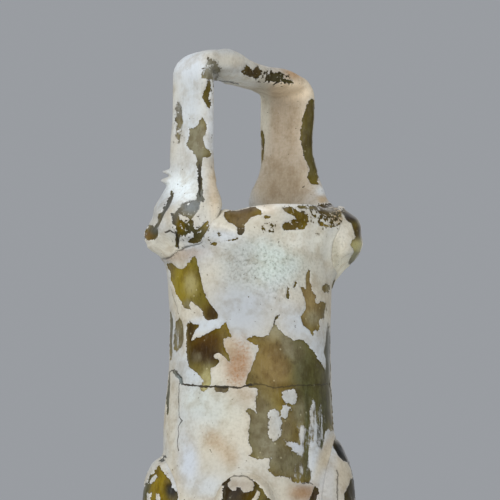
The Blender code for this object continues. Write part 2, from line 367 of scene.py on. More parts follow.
FORKED = [
    (309.5, 268), (311, 272), (311, 280), (312, 288), (314, 292), (316.5, 295.5), (315, 300), (316, 303),
    (319, 303), (321, 302), (324, 300.5), (326, 304), (328, 308), (327, 313), (326, 318), (322, 319),
    (319.5, 320), (320, 326), (320, 330), (316, 331), (313.5, 331), (313.5, 336), (311.5, 334), (310, 330),
    (307, 328), (304, 325), (302, 320), (301, 316.5), (304, 313), (306, 308), (306, 302), (305, 298),
    (303, 293), (300.5, 285.5), (304, 288), (306, 290), (306.5, 280), (307, 275),
]
BROAD_RIGHT = [
    (274, 323.5), (277, 326), (281, 329.5), (285, 333), (288, 337), (292, 337), (295, 340), (300, 339),
    (304, 341), (308, 345), (312, 349), (315.5, 353), (318, 358), (322, 363), (325, 369), (328, 376),
    (330, 383), (332, 390), (334, 398), (334, 405), (334, 430), (331, 431), (328.5, 428), (327, 431),
    (325.5, 435), (324.5, 442), (322, 449), (319, 447), (316.5, 441), (312, 441), (310.5, 448),
    (310.5, 456), (310.5, 465), (312, 474), (313, 479), (309, 484), (303, 483), (297, 482.5), (292, 480.5),
    (291, 477), (287, 477), (282, 476), (275, 476), (271, 473), (267, 470), (270, 467.5), (269, 464),
    (270, 460), (273, 457.5), (271, 456.5), (267, 458.5), (262, 459.5), (256, 459), (252, 457), (248, 456),
    (251, 454.5), (252, 451), (250, 446), (248, 440), (249, 432), (250, 425), (250, 417), (248, 413),
    (245, 411), (249, 408), (253, 410), (257, 413.5), (255.5, 407), (257, 404.5), (255, 400.5),
    (256.5, 396), (258, 390), (258, 387.5), (252, 388), (247, 387), (245, 384), (247, 380), (248, 374),
    (251, 368), (254, 362), (255, 357), (258, 352), (259, 349), (257, 345), (253, 344.5), (250, 342),
    (246, 339), (249, 337), (254, 335.5), (258, 337), (262, 337), (266, 336), (270, 333), (272, 328),
]
SMALL_LOSSES = [
    [(323, 286), (326, 284), (330, 285), (331.5, 289), (329, 292), (325, 292.5), (323, 290)],
    [(287.5, 284.5), (289, 288), (290, 296), (289, 300), (286.5, 298), (287, 291)],
    [(296.5, 281.5), (297, 284), (295, 288), (293.5, 288.5), (294.5, 284)],
    [(277, 314.5), (279.5, 315), (278, 318), (276, 318), (274.5, 323), (273.5, 322.5), (275, 318)],
    [(328.5, 321), (330, 329), (331.8, 336), (332.2, 344), (333.3, 351), (332.5, 361), (333.4, 369),
     (332, 378), (329.5, 384.5), (327, 383), (326, 375), (326.5, 360), (324, 352), (326, 345), (327, 334)],
    [(168, 311), (170.5, 312), (172.5, 321), (172, 332), (171.5, 342), (172, 352), (170.5, 361),
     (168, 356), (167.5, 330)],
    [(178.5, 317.5), (181.5, 322), (183, 329), (183, 339.5), (181, 346.5), (178, 350), (175.5, 353.5),
     (173.5, 347), (173, 338), (173.5, 330), (175, 323)],
    [(167, 372), (169, 372), (169.5, 385), (168.5, 400), (168.5, 410), (167.5, 417), (166, 410),
     (165.5, 395)],
    [(172.5, 371.5), (175, 370), (181.5, 376.5), (183, 384.5), (180, 385.5), (178.5, 380), (173.5, 374.5)],
    [(213, 386.5), (222, 387), (230, 387), (228, 390), (225, 392), (221, 392.5), (216, 391)],
    [(316, 486), (319, 488.5), (320.5, 494.5), (318.5, 494), (317.5, 500), (317, 508), (307, 508),
     (310, 499), (313, 493), (314, 489)],
]
LIP_LOSSES = [
    [(223, 213), (225, 211), (230, 209), (240, 207), (250, 205), (256, 205), (262, 208), (261, 213.5),
     (256, 216), (251, 217), (248, 221), (245, 224), (243, 229), (238, 229), (235, 227), (232, 223),
     (228, 220), (224, 217)],
    [(237, 228.5), (245, 228.5), (244, 234), (240, 237), (237, 233)],
    [(211.5, 243.5), (214, 242), (217.5, 242.5), (217, 245), (212.5, 245)],
    [(226, 241.5), (230, 239), (238, 238.5), (236, 240.5), (229, 242)],
    [(263.5, 215), (268, 214.5), (272, 217), (270, 219.5), (265, 219)],
    [(283, 206), (288, 205), (292, 205), (298, 210), (303, 213), (307.5, 214), (307.5, 221), (305.5, 228),
     (300, 230.5), (292, 230.5), (284, 230.5), (281, 227), (284, 223), (290, 221), (296, 219.5),
     (293, 215.5), (287, 212), (284.5, 209)],
    [(297, 203.5), (305, 203), (318, 204), (318, 208), (308, 207), (300, 207.5)],
    [(318, 222), (321, 221), (325, 224.5), (331, 226), (337, 224), (340, 222.5), (337, 226), (331, 228),
     (323, 227.5), (319, 226)],
    [(334, 216), (338, 216), (339, 219), (336, 220), (334, 218.5)],
]
CRUST_ISLANDS = [
    [(280.5, 391.5), (284.5, 390.5), (289, 391), (294, 389.5), (297, 391.5), (298.5, 396.5), (297, 400.5),
     (295, 404), (291.5, 404), (288, 403), (284.5, 403), (283, 398.5), (282.5, 395)],
    [(282, 405), (287.5, 406), (291.5, 407.5), (293.5, 409.5), (289.5, 411), (288, 412.5), (288.5, 414.5),
     (286.5, 418), (284, 416.5), (281, 416), (281, 413), (281, 410), (283, 408)],
    [(273.5, 409), (277, 409), (279.5, 412), (280, 416), (281.5, 422.5), (281.5, 429), (281, 435),
     (278.5, 439.5), (274.5, 441), (271, 439), (269, 435), (268, 427.5), (268.5, 422.5), (269.5, 417.5),
     (269.5, 413)],
    [(284, 439), (287, 442.5), (290, 442.5), (293, 443), (297, 442), (299.5, 444), (302, 442),
     (304.5, 446), (304.5, 451), (302, 455.5), (299, 453.5), (295, 452.5), (292, 449.5), (289, 447),
     (286, 445)],
    [(301.5, 427), (305, 426), (307.5, 430), (305.5, 434), (305, 439), (303.5, 443.5), (300.5, 442.5),
     (301, 437.5), (300.5, 434)],
    [(313, 401), (315.5, 402), (315.5, 406), (313.5, 410), (312.5, 413.5), (311, 412.5), (311.5, 407)],
    [(312, 418), (316, 417), (317, 422.5), (319.5, 426), (318, 430), (317.5, 435), (317.5, 440),
     (314, 440), (311.5, 435), (312, 430), (311.5, 426), (312.5, 422)],
]

flat_points = read(body)
flat_heights = flat_points[:, 2]
wall_places = rolled_out(flat_points)
in_bore = np.hypot(flat_points[:, 0], flat_points[:, 1]) < tube_radius(flat_heights) - WALL / 2
in_bore &= (flat_heights > FLOOR_THICKNESS - MM) & (flat_heights < wall_top)
body_points = wall_form(flat_points)
body_points = pulled(body_points, TUBE_MOVES, ramp(-body_points[:, 1], 0.0, TOP_RADIUS / 3))
move_points(body, body_points)
body_losses = [GOLD_UNDER_PAD, AMBER_HOOK, FORKED, BROAD_RIGHT, BY_FAR_PAD, ABOVE_LEFT_LUG]
body_losses += SMALL_LOSSES + LIP_LOSSES
body_bare = patched(wall_places, map(on_wall, body_losses), map(on_wall, CRUST_ISLANDS))

# Round the sides and the back, and below the lugs, the crust has gone in like patches
SIDE_FROM_MM = 20.0
SIDE_FULL_MM = 24.5
LOW_FROM_MM = 50.0
LOW_FULL_MM = 46.0
LOSS_OCTAVES = 5
BODY_LOSS_SIZE_MM = 9.0
BODY_LOSS_SEED = 3
BODY_LOSS_LEVEL = 0.16
BODY_LOSS_SLOPE = 5.0
LOSS_UPRIGHT = 0.6
KEPT_OFF_SEEN = 6.0


def hidden_losses(points, size_mm, seed, level, slope):
    """Patches where the noise is over a level, as depths in millimetres."""
    return (rough(points, size_mm, seed, LOSS_OCTAVES) - level) * slope


unseen = np.maximum(
    ramp(np.abs(wall_places[:, 0]), SIDE_FROM_MM, SIDE_FULL_MM),
    ramp(-wall_places[:, 1], -LOW_FROM_MM, -LOW_FULL_MM),
)
upright = body_points * np.array((1.0, 1.0, LOSS_UPRIGHT))
hidden = hidden_losses(upright, BODY_LOSS_SIZE_MM, BODY_LOSS_SEED, BODY_LOSS_LEVEL, BODY_LOSS_SLOPE)
body_bare = np.maximum(body_bare, hidden - KEPT_OFF_SEEN * (1.0 - unseen))
body_bare[in_bore] = -PATCH_REACH_MM


def from_hex(colour):
    """sRGB hex to linear red, green and blue."""
    channels = np.array([int(colour[i:i + 2], 16) / 255 for i in (1, 3, 5)])
    return np.where(channels <= 0.04045, channels / 12.92, ((channels + 0.055) / 1.055) ** 2.4)


# How far a surface faces the camera, where it just starts to be seen, and where it is seen in full
SEEN_FROM = -0.35
SEEN_FULL = -0.10


def view_of(piece):
    """A piece's points, their pixels, and 1 where they face the camera and 0 where they face away."""
    points = read(piece)
    towards = np.array(camera.location) - points
    towards /= np.linalg.norm(towards, axis=1)[:, None]
    facing = np.sum(towards * read(piece, "normal"), axis=1)
    return points, seen_pixels(points), ramp(facing, SEEN_FROM, SEEN_FULL)


def airbrush(base, pixels, seen, spots):
    """Sprays soft oval spots over a base: (column, row), (half width, half height), tone, strength, and
    the turn in degrees of a spot that is turned."""
    value = base.copy()
    for place, (half_width, half_height), tone, strength, *turn in spots:
        across, down = (pixels - place).T
        angle = math.radians(turn[0]) if turn else 0.0
        u = (across * math.cos(angle) + down * math.sin(angle)) / half_width
        v = (down * math.cos(angle) - across * math.sin(angle)) / half_height
        share = strength * seen * soft_oval(u, v)
        if value.ndim == 2:
            value += (from_hex(tone) - value) * share[:, None]
        else:
            value += (tone - value) * share
    return value


# Crust tones: cream, bluish white where it is thick and smooth, and stained brown by iron in places
CREAM = "#C6C0B0"
BLUISH_WHITE = "#C3C8CC"
PALE_GREEN = "#C0CAC2"
GREY = "#A9A9A4"
PINK_BROWN = "#A98A6C"
SOFT_TAN = "#B49F82"
WHITE = "#D2D8DC"

# Glass tones: olive, gold where light comes through, brown and nearly black where it is thick
OLIVE = "#6E6339"
GOLD = "#8A7732"
AMBER = "#513E14"
DARK_BROWN = "#3E301A"
DARK_GREEN = "#4B4A2E"
GREY_OLIVE = "#7E7862"

# Stains of the crust and tones of the glass, with painted light, shade, highlights and a reflection in a
# few spots. Then where black specks sit in the crust, where a film of it is left in upright streaks, where
# iron has spotted it, and where it is sugary (1) or smooth (0)
BODY_PAINT = {
    "crust_tone": [
        ((240, 310), (34, 36), "#AEB3B8", 0.95, 10), ((205, 325), (22, 9), "#C4CBD1", 0.9, -10),
        ((192, 370), (14, 20), "#BBC1C4", 0.9), ((268, 262), (38, 24), PALE_GREEN, 0.95),
        # (304, 240) is painted light, lifting the shade that the lip casts on the wall below it
        ((240, 264), (20, 26), "#A4A6A1", 0.85), ((304, 240), (26, 13), "#DCDACE", 0.9),
        ((300, 322), (22, 16), BLUISH_WHITE, 0.9, 30), ((315, 350), (10, 18), BLUISH_WHITE, 0.9, -25),
        ((316, 255), (14, 26), GREY, 0.15), ((322, 245), (14, 34), "#D8D7CA", 0.4),
        ((238, 473), (60, 17), "#BCB9AE", 0.75), ((194, 400), (12, 12), "#CCD1CE", 0.8),
        ((238, 366), (14, 22), "#A08062", 0.85), ((229, 345), (9, 12), "#AE9A7E", 0.7),
        ((242, 395), (20, 10), SOFT_TAN, 0.45), ((212, 405), (30, 26), PALE_GREEN, 0.35),
        ((214, 441), (20, 9), "#AE9674", 0.55, 40), ((230, 458), (10, 9), SOFT_TAN, 0.5),
        ((188, 462), (11, 26), "#C2C9D2", 0.9), ((199, 428), (12, 12), "#CBCCC4", 0.7),
        ((206, 487), (19, 13), "#C2C7CA", 0.8), ((316, 458), (9, 26), BLUISH_WHITE, 0.9),
        ((325, 457), (6, 28), "#C8BCA2", 0.85, 20), ((303, 493), (15, 9), "#9C7850", 0.85),
        ((326, 485), (8, 18), "#B6B5B3", 0.8), ((171, 430), (6, 32), "#CCC8BA", 0.9),
        ((185, 254), (22, 7), PINK_BROWN, 0.45, -8), ((286, 412), (24, 34), "#B6B8B6", 0.9),
        ((296, 446), (10, 9), "#BAC0C8", 0.8), ((338, 216), (9, 8), "#B59C74", 0.8),
        # Painted highlights: two thin light lines along the lip's broken crust edge
        ((218, 226), (8, 1.5), "#F4F1E8", 0.35, 4), ((231, 229.5), (8, 1.5), "#F4F1E8", 0.35, 26),
        # (290, 204) is a painted highlight along the lip's top edge; (267, 208) is painted light on the lip
        # between the handle's legs
        ((290, 204), (40, 2.5), "#F0EEE6", 0.7, -3), ((267, 208), (10, 6), "#E8E2D6", 0.9),
        ((226, 236), (16, 6), BLUISH_WHITE, 0.9, 5),
    ],
    "glass_tone": [
        # (200, 280) is painted shadow along the gold patch's right edge, under the crust's step
        ((182, 282), (18, 24), "#8C7D38", 1), ((200, 280), (4, 24), "#6E6430", 0.8, -14),
        ((190, 284), (7, 12), "#A8A078", 0.8), ((212, 313), (10, 12), DARK_BROWN, 1),
        ((187, 305), (7, 6), GREY_OLIVE, 0.7), ((206, 342), (22, 16), "#4E370A", 1),
        # (196, 357) is a painted reflection on the amber bulge
        ((204, 356), (17, 12), "#3A280C", 1), ((196, 357), (5, 5), GREY_OLIVE, 0.7),
        ((190, 330), (5, 12), DARK_BROWN, 0.9), ((206, 382), (8, 17), "#A9A379", 1),
        ((197, 368), (6, 7), OLIVE, 0.8, 30), ((311, 300), (12, 30), "#998862", 0.95),
        ((314, 318), (8, 8), "#989278", 0.9), ((274, 332), (14, 10), "#A09C84", 0.8),
        ((270, 362), (24, 28), "#84724C", 1), ((288, 345), (7, 12), GREY_OLIVE, 0.8, 10),
        ((306, 372), (18, 36), "#5C5A3E", 1), ((298, 350), (8, 10), "#6E684E", 0.8),
        ((279, 372), (12, 15), "#8C7A54", 0.8), ((316, 370), (8, 14), "#5A5634", 0.8),
        ((312, 395), (16, 24), "#545232", 0.9), ((285, 387), (14, 6), AMBER, 0.6),
        ((262, 425), (18, 34), GREY_OLIVE, 0.9), ((287, 462), (24, 20), "#6E6A54", 0.9),
        ((300, 412), (9, 14), "#7C7860", 0.9), ((286, 430), (9, 16), "#827B62", 0.8),
        ((268, 450), (10, 14), "#8E8A76", 0.8), ((308, 430), (3, 44), "#484D34", 0.7),
        ((321, 438), (4, 18), "#44482F", 0.9), ((221, 389), (10, 5), "#544A36", 1),
        ((172, 330), (3, 26), "#4C4A28", 1), ((286, 208), (4, 4), "#8E8576", 0.9),
        ((162, 459), (8, 6), "#5C5C56", 1), ((329, 352), (5, 34), "#3E3E28", 1),
        ((326, 410), (7, 30), DARK_GREEN, 0.9), ((240, 216), (22, 16), "#66563A", 1),
        ((246, 208), (18, 4), "#75695A", 0.8, -8), ((240, 234), (8, 5), "#4A4A3A", 1),
        ((295, 220), (18, 16), "#665518", 1), ((178, 378), (9, 10), "#7F8786", 1),
        ((288, 346), (4, 15), "#98947C", 0.6, -25), ((178, 335), (7, 18), GREY_OLIVE, 0.8),
        ((167, 395), (4, 24), DARK_GREEN, 0.9), ((315, 495), (6, 10), DARK_BROWN, 1),
        ((240, 232), (6, 6), DARK_BROWN, 0.7), ((328, 208), (14, 8), DARK_BROWN, 0.7),
    ],
    "specks": [
        ((270, 227), (12, 6), 1, 0.9), ((328, 214), (20, 16), 1.3, 1), ((295, 220), (16, 16), 1, 0.35),
        ((214, 236), (10, 10), 1, 0.5), ((230, 236), (12, 4), 1, 0.4), ((310, 206), (22, 4), 1, 0.7),
    ],
    "streaks": [
        ((304, 434), (6, 20), 1, 0.8), ((318, 430), (9, 28), 1, 0.8), ((302, 470), (14, 15), 1, 0.55),
        ((329, 318), (5, 22), 1, 0.8), ((176, 341), (5, 16), 1, 0.6),
    ],
    "rust": [
        ((240, 362), (10, 24), 1, 0.9, 8), ((233, 378), (10, 8), 1, 0.6),
        ((214, 441), (18, 8), 1, 0.25, 40), ((309, 495), (9, 8), 1, 0.25),
        ((330, 443), (5, 14), 1, 0.3, 12),
    ],
    "grainy": [
        ((268, 268), (42, 32), 1, 1), ((238, 312), (36, 28), 0, 0.95, 10),
        ((206, 325), (20, 9), 0, 0.9, -10), ((300, 335), (22, 14), 0.05, 0.9, 35),
        ((192, 366), (12, 16), 0.1, 0.8), ((205, 470), (26, 24), 0.15, 0.7),
    ],
}
# Cracks right through the crust: width in millimetres, strength, and the route
CRACKS = [
    (0.36, 0.95, [(181, 384), (200, 386), (212, 386.5), (225, 387), (240, 388), (247, 385), (251, 384.5)]),
    (0.22, 0.55, [(251, 384.5), (262, 384), (276, 388), (292, 385.5), (312, 385), (329, 384)]),
    (0.24, 0.8, [(168, 374), (174, 370), (181, 378), (181, 384)]),
    (0.22, 0.8, [(179, 384), (179, 416), (182, 421), (178.5, 426), (178.5, 434),
     (177.5, 440), (178.5, 451)]),
    (0.22, 0.6, [(303, 484), (308, 482.5), (313, 484)]),
    (0.24, 0.6, [(335.5, 470), (336.5, 485), (336.5, 505)]),
    (0.2, 0.55, [(170.5, 287), (173, 297), (176, 306), (178, 314)]),
    (0.24, 0.8, [(279.5, 315), (276.5, 318), (274, 324)]),
]

# Slow clouds: lump size in millimetres, seed, octaves, and the noise at which they begin and are full
TONE_DRIFT = (12.0, 8, 3, -0.5, 0.6)
GLASS_DEPTH = (9.0, 13, 3, -0.6, 0.6)
BODY_BUMPS = (7.0, 5, 3, -0.8, 0.8)
DRIFT_BLUISH = 0.7
DRIFT_GREY = 0.3
PLAIN_OLIVE = 0.4
PLAIN_GRAIN = 0.25
UNSEEN_FAR_MM = 50.0
CRUST_THICKNESS = 0.00018
UNEVENNESS = 0.00010
FLAKED_EDGE_MM = 0.2
FLAT_BASE = 0.00005


def clouds(points, size_mm, seed, octaves, low, high):
    """A cloudy field that climbs from 0 to 1."""
    return ramp(rough(points, size_mm, seed, octaves), low, high)


def keep(piece, name, values):
    """Keeps a number, a place or a colour for each vertex, for the material to read."""
    kind, key = "FLOAT", "value"
    if name == "flat_place":
        kind, key = "FLOAT_VECTOR", "vector"
    elif values.ndim == 2:
        kind, key = "FLOAT_COLOR", "color"
        values = np.column_stack((values, np.ones(len(values))))
    layer = piece.data.attributes.new(name, kind, "POINT")
    layer.data.foreach_set(key, values.astype(np.float32).ravel())


def weather(piece, places, seen, bare, paint, edge_mm, bumps):
    """Keeps what the weathered glass reads: the bare patches, the place on the flat drawing, and the
    tones. Then sinks the bare patches below the crust."""
    points, pixels, _ = view_of(piece)
    drift = clouds(points, *TONE_DRIFT)[:, None]
    crust = from_hex(BLUISH_WHITE) * DRIFT_BLUISH + from_hex(GREY) * DRIFT_GREY
    crust = from_hex(CREAM) * (1 - drift) + crust * drift
    depth = clouds(points, *GLASS_DEPTH)[:, None]
    glass = from_hex(DARK_GREEN) * (1 - depth) + from_hex(GOLD) * depth
    glass = glass * (1 - PLAIN_OLIVE) + from_hex(OLIVE) * PLAIN_OLIVE
    keep(piece, "bare", bare)
    keep(piece, "flat_place", np.column_stack((places, UNSEEN_FAR_MM * (1.0 - seen))))
    plain = {"crust_tone": crust, "glass_tone": glass, "grainy": np.full(len(points), PLAIN_GRAIN)}
    for name in ("crust_tone", "glass_tone", "specks", "streaks", "rust", "grainy"):
        base = plain.get(name, np.zeros(len(points)))
        keep(piece, name, airbrush(base, pixels, seen, paint.get(name, ())))
    sunk = CRUST_THICKNESS * ramp(bare, -edge_mm, edge_mm) + UNEVENNESS * clouds(points, *bumps)
    sunk[points[:, 2] < FLAT_BASE] = 0.0
    move_points(piece, points - read(piece, "normal") * sunk[:, None])


body_seen = view_of(body)[2] * ~in_bore
weather(body, wall_places, body_seen, body_bare, BODY_PAINT, FLAKED_EDGE_MM, BODY_BUMPS)

# Patterns in the crust and the glass: lump size in millimetres, detail, roughness, and scale in height.
# The real grain and lines are finer than a pixel, so they are drawn as coarse as they need to show.
PATTERNS = {
    "ragged": (1.3, 5.0, 0.68, 1.0),
    "fine": (0.42, 2.0, 0.6, 1.0),
    "upright": (0.85, 4.0, 0.65, 0.20),
    "specks": (0.75, 3.0, 0.65, 1.0),
    "flecks": (1.2, 4.0, 0.7, 1.0),
    "mottle": (2.6, 4.0, 0.6, 1.0),
    "grain": (0.45, 2.0, 0.6, 1.0),
    "drawn": (0.28, 2.0, 0.6, 0.10),
    "swirl": (3.0, 4.0, 0.65, 1.0),
    "haze": (0.6, 4.0, 0.75, 0.35),
}
# What follows a drawn field: the field, its factor, and the value where the field is 0
FOLLOWERS = {
    "grain_depth": ("grainy", 0.50, 0.04),
    "film": ("streaks", 0.40, 0.10),
    "softness": ("streaks", 0.60, 0.04),
    "deepest": ("streaks", -0.55, 0.75),
}
# Layers over the crust and over the glass: how each is blended, its pattern, where in that it begins and
# is full, its strength, the field that it follows, and its tone
CRUST_LAYERS = [
    ("MULTIPLY", "mottle", 0.42, 0.68, 0.40, None, "#C6B498"),
    ("MIX", "fine", 0.44, 0.66, 0.75, "rust", "#9C7048"),
    ("MULTIPLY", "grain", 0.50, 0.70, 1.0, "grain_depth", "#9C9B90"),
    ("SCREEN", "grain", 0.50, 0.30, 0.30, "grain_depth", "#FFFFFF"),
    ("MULTIPLY", "drawn", 0.45, 0.68, 1.0, "drawn_depth", "#8F9490"),
    # A painted light line along the crust's broken edge
    ("SCREEN", "edge", -0.20, -0.05, 0.22, None, "#FFFFFF"),
]
GLASS_LAYERS = [
    ("MULTIPLY", "swirl", 0.42, 0.62, 0.50, None, "#A88F5E"),
    ("MIX", "haze", 0.50, 0.72, 1.0, "film", "#9C9B8E"),
    ("MULTIPLY", "haze", 0.48, 0.30, 0.50, None, "#8F835C"),
    # Painted highlights: light glints on bubbles in the glass
    ("SCREEN", "bubble_glints", 0.12, 0.05, 0.25, None, "#D8D2B0"),
    # Painted shadow on the glass along the crust's broken edge
    ("MULTIPLY", "edge", 0.20, 0.02, 0.50, None, "#3A3020"),
]
NOISE_MIDDLE = 0.5
RAGGED_MM = 2.0
FINE_MM = 0.8
STREAK_MM = 6.5
STREAK_LEVEL = 0.52
# How far the drawn specks lift a pattern, and where in it the grit begins and is full
GRIT = {"specks": (0.19, 0.69, 0.72), "flecks": (0.10, 0.66, 0.69)}
FLECKED_AREA = (0.1, 0.3)
BUBBLE_SPACING_MM = 1.9
GLASS_SATURATION = 1.12
GLASS_BRIGHTNESS = 0.96
CRUST_RELIEF = 0.6
MOTTLE_RELIEF = 0.5
BUMP_STRENGTH = 0.7
BUMP_DEPTH = 0.00014
WANDER_SIZE_MM = 0.9
WANDER_DETAIL = 2.0
WANDER_MM = 0.35
CRACK_TONE = "#30291C"
CRUST_ROUGHNESS = 0.62
GLASS_ROUGHNESS = 0.30
GLASS_IOR = 1.5
GLASS_SPECULAR = 0.14
SMOOTH = {"interpolation_type": "SMOOTHSTEP"}


def add_node(tree, kind, inputs, output=0, **settings):
    """Adds a node and returns one of its outputs. Inputs, in order or by name, are values or outputs."""
    node = tree.nodes.new("ShaderNode" + kind)
    for name, value in settings.items():
        setattr(node, name, value)
    for key, value in inputs.items() if isinstance(inputs, dict) else enumerate(inputs):
        if isinstance(value, bpy.types.NodeSocket):
            tree.links.new(value, node.inputs[key])
        else:
            node.inputs[key].default_value = value
    return node.outputs[output]


def distance_to(tree, place, route):
    """Distance from a place to a line drawn through some points."""
    nearest = None
    for start, end in zip(route, route[1:]):
        start, end = Vector((*start, 0.0)), Vector((*end, 0.0))
        reach = (end - start).length
        along = (end - start) / reach
        offset = add_node(tree, "VectorMath", [place, start], operation="SUBTRACT")
        share = add_node(tree, "VectorMath", [offset, along], "Value", operation="DOT_PRODUCT")
        share = add_node(tree, "Clamp", [share, 0.0, reach])
        foot = add_node(tree, "VectorMath", {0: along, "Scale": share}, operation="SCALE")
        away = add_node(tree, "VectorMath", [offset, foot], "Value", operation="DISTANCE")
        nearest = add_node(tree, "Math", [nearest, away], operation="MINIMUM") if nearest else away
    return nearest


def weathered_glass(name, cracks, drawn_depth=0.0):
    """Buried soda-lime glass. Its decayed surface is a matt, grainy crust. Where that has flaked off, the
    sound glass is glossy, and the broken edge of the crust shows as a fine light line with its shadow."""
    material = bpy.data.materials.new(name)
    material.use_nodes = True
    tree = material.node_tree
    shader = tree.nodes["Principled BSDF"]
    place = add_node(tree, "TexCoord", [], "Object")
    field = {"drawn_depth": drawn_depth}
    for key in ("bare", "specks", "streaks", "rust", "grainy"):
        field[key] = add_node(tree, "Attribute", [], "Fac", attribute_name=key)
    for key, (source, factor, least) in FOLLOWERS.items():
        field[key] = add_node(tree, "Math", [field[source], factor, least], operation="MULTIPLY_ADD")
    pattern = {}
    for key, (size_mm, detail, roughness, height) in PATTERNS.items():
        spot = add_node(tree, "Mapping", {"Vector": place, "Scale": (1.0, 1.0, height)})
        settings = {"Vector": spot, "Scale": 1 / (size_mm * MM), "Detail": detail, "Roughness": roughness}
        pattern[key] = add_node(tree, "TexNoise", settings, "Fac")
    spacing = {"Vector": place, "Scale": 1 / (BUBBLE_SPACING_MM * MM)}
    pattern["bubble_glints"] = add_node(tree, "TexVoronoi", spacing, "Distance")

    # Where the crust ends, in millimetres, made ragged and broken into upright streaks
    edge = add_node(tree, "Math", [field["bare"], field["deepest"]], operation="MINIMUM")
    for key, depth in (("ragged", RAGGED_MM), ("fine", FINE_MM)):
        swing = add_node(tree, "Math", [pattern[key], NOISE_MIDDLE], operation="SUBTRACT")
        edge = add_node(tree, "Math", [swing, depth, edge], operation="MULTIPLY_ADD")
    swing = add_node(tree, "Math", [pattern["upright"], STREAK_LEVEL], operation="SUBTRACT")
    swing = add_node(tree, "Math", [swing, field["streaks"]], operation="MULTIPLY")
    edge = add_node(tree, "Math", [swing, STREAK_MM, edge], operation="MULTIPLY_ADD")
    pattern["edge"] = edge
    inner = add_node(tree, "Math", [field["softness"], -1.0], operation="MULTIPLY")
    flaked = add_node(tree, "MapRange", [edge, inner, field["softness"]], **SMOOTH)

    # Black specks in the crust, and flecks of crust left on the glass among them
    grit = {}
    for key, (push, low, high) in GRIT.items():
        level = add_node(tree, "Math", [field["specks"], push, pattern[key]], operation="MULTIPLY_ADD")
        grit[key] = add_node(tree, "MapRange", [level, low, high], **SMOOTH)
    among = add_node(tree, "MapRange", [field["specks"], *FLECKED_AREA], **SMOOTH)
    fleck = add_node(tree, "Math", [grit["flecks"], among], operation="MULTIPLY")
    clear = add_node(tree, "Math", [1.0, fleck], operation="SUBTRACT")
    flaked = add_node(tree, "Math", [flaked, clear], operation="MULTIPLY")
    shown = add_node(tree, "Math", [flaked, grit["specks"]], operation="MAXIMUM")

    # The crust is lit along its broken edge, and the glass lies in shadow there
    crust = add_node(tree, "Attribute", [], "Color", attribute_name="crust_tone")
    glass = add_node(tree, "Attribute", [], "Color", attribute_name="glass_tone")
    deepened = {"Saturation": GLASS_SATURATION, "Value": GLASS_BRIGHTNESS, "Color": glass}
    glass = add_node(tree, "HueSaturation", deepened)
    surfaces = []
    for surface, layers in ((crust, CRUST_LAYERS), (glass, GLASS_LAYERS)):
        for blend, key, low, high, strength, follows, tone in layers:
            share = add_node(tree, "MapRange", [pattern[key], low, high, 0.0, strength], **SMOOTH)
            if follows:
                share = add_node(tree, "Math", [share, field[follows]], operation="MULTIPLY")
            both = {0: share, 6: surface, 7: (*from_hex(tone), 1.0)}
            surface = add_node(tree, "Mix", both, 2, data_type="RGBA", blend_type=blend)
        surfaces.append(surface)
    base = add_node(tree, "Mix", {0: shown, 6: surfaces[0], 7: surfaces[1]}, 2, data_type="RGBA")

    relief = [pattern["grain"], field["grain_depth"], CRUST_RELIEF]
    relief = add_node(tree, "Math", relief, operation="MULTIPLY_ADD")
    relief = add_node(tree, "Math", [pattern["mottle"], MOTTLE_RELIEF, relief], operation="MULTIPLY_ADD")
    crusted = add_node(tree, "Math", [1.0, shown], operation="SUBTRACT")
    relief = add_node(tree, "Math", [relief, crusted], operation="MULTIPLY")

    # The cracks wander off their routes a little, and are wider in some places than in others
    wander = {"Vector": place, "Scale": 1 / (WANDER_SIZE_MM * MM), "Detail": WANDER_DETAIL}
    wander = add_node(tree, "TexNoise", wander, "Color")
    swing = [wander, (2 * WANDER_MM, 2 * WANDER_MM, 0.0), (-WANDER_MM, -WANDER_MM, 0.0)]
    swing = add_node(tree, "VectorMath", swing, operation="MULTIPLY_ADD")
    flat_place = add_node(tree, "Attribute", [], "Vector", attribute_name="flat_place")
    wandering = add_node(tree, "VectorMath", [swing, flat_place], operation="ADD")
    for width, strength, route in cracks:
        away = distance_to(tree, wandering, route)
        gap = add_node(tree, "Math", [pattern["upright"], width], operation="MULTIPLY")
        opened = add_node(tree, "Math", [away, gap], operation="LESS_THAN")
        share = add_node(tree, "Math", [opened, strength], operation="MULTIPLY")
        both = {0: share, 6: base, 7: (*from_hex(CRACK_TONE), 1.0)}
        base = add_node(tree, "Mix", both, 2, data_type="RGBA")
        relief = add_node(tree, "Math", [relief, opened], operation="SUBTRACT")

    roughness = add_node(tree, "MapRange", [shown, 0.0, 1.0, CRUST_ROUGHNESS, GLASS_ROUGHNESS], **SMOOTH)
    bump = add_node(tree, "Bump", {"Strength": BUMP_STRENGTH, "Distance": BUMP_DEPTH, "Height": relief})
    tree.links.new(base, shader.inputs["Base Color"])
    tree.links.new(roughness, shader.inputs["Roughness"])
    tree.links.new(bump, shader.inputs["Normal"])
    shader.inputs["IOR"].default_value = GLASS_IOR
    shader.inputs["Specular IOR Level"].default_value = GLASS_SPECULAR
    return material


def finished(piece, material, node):
    """Shades a piece smooth, gives it its material and lets it stand for its solid."""
    piece.data.materials.clear()
    piece.data.materials.append(material)
    piece.data.shade_smooth()
    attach(piece, "root")
    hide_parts(node)


wall_cracks = [(width, strength, on_wall(route)) for width, strength, route in CRACKS]
finished(body, weathered_glass("weathered_tube_glass", wall_cracks), "body")

# The basket handle
# A thick strap of hot glass drawn off the lip, over the mouth and down to the lip again, where each end
# was pressed out into a pad.
HANDLE_GRAIN = 0.00028
SEAT_GAP = 0.0003
SEAT_REACH = 0.00012
LIP_SEAT_SHARE = 0.08
SEAT_SINK = 0.0010


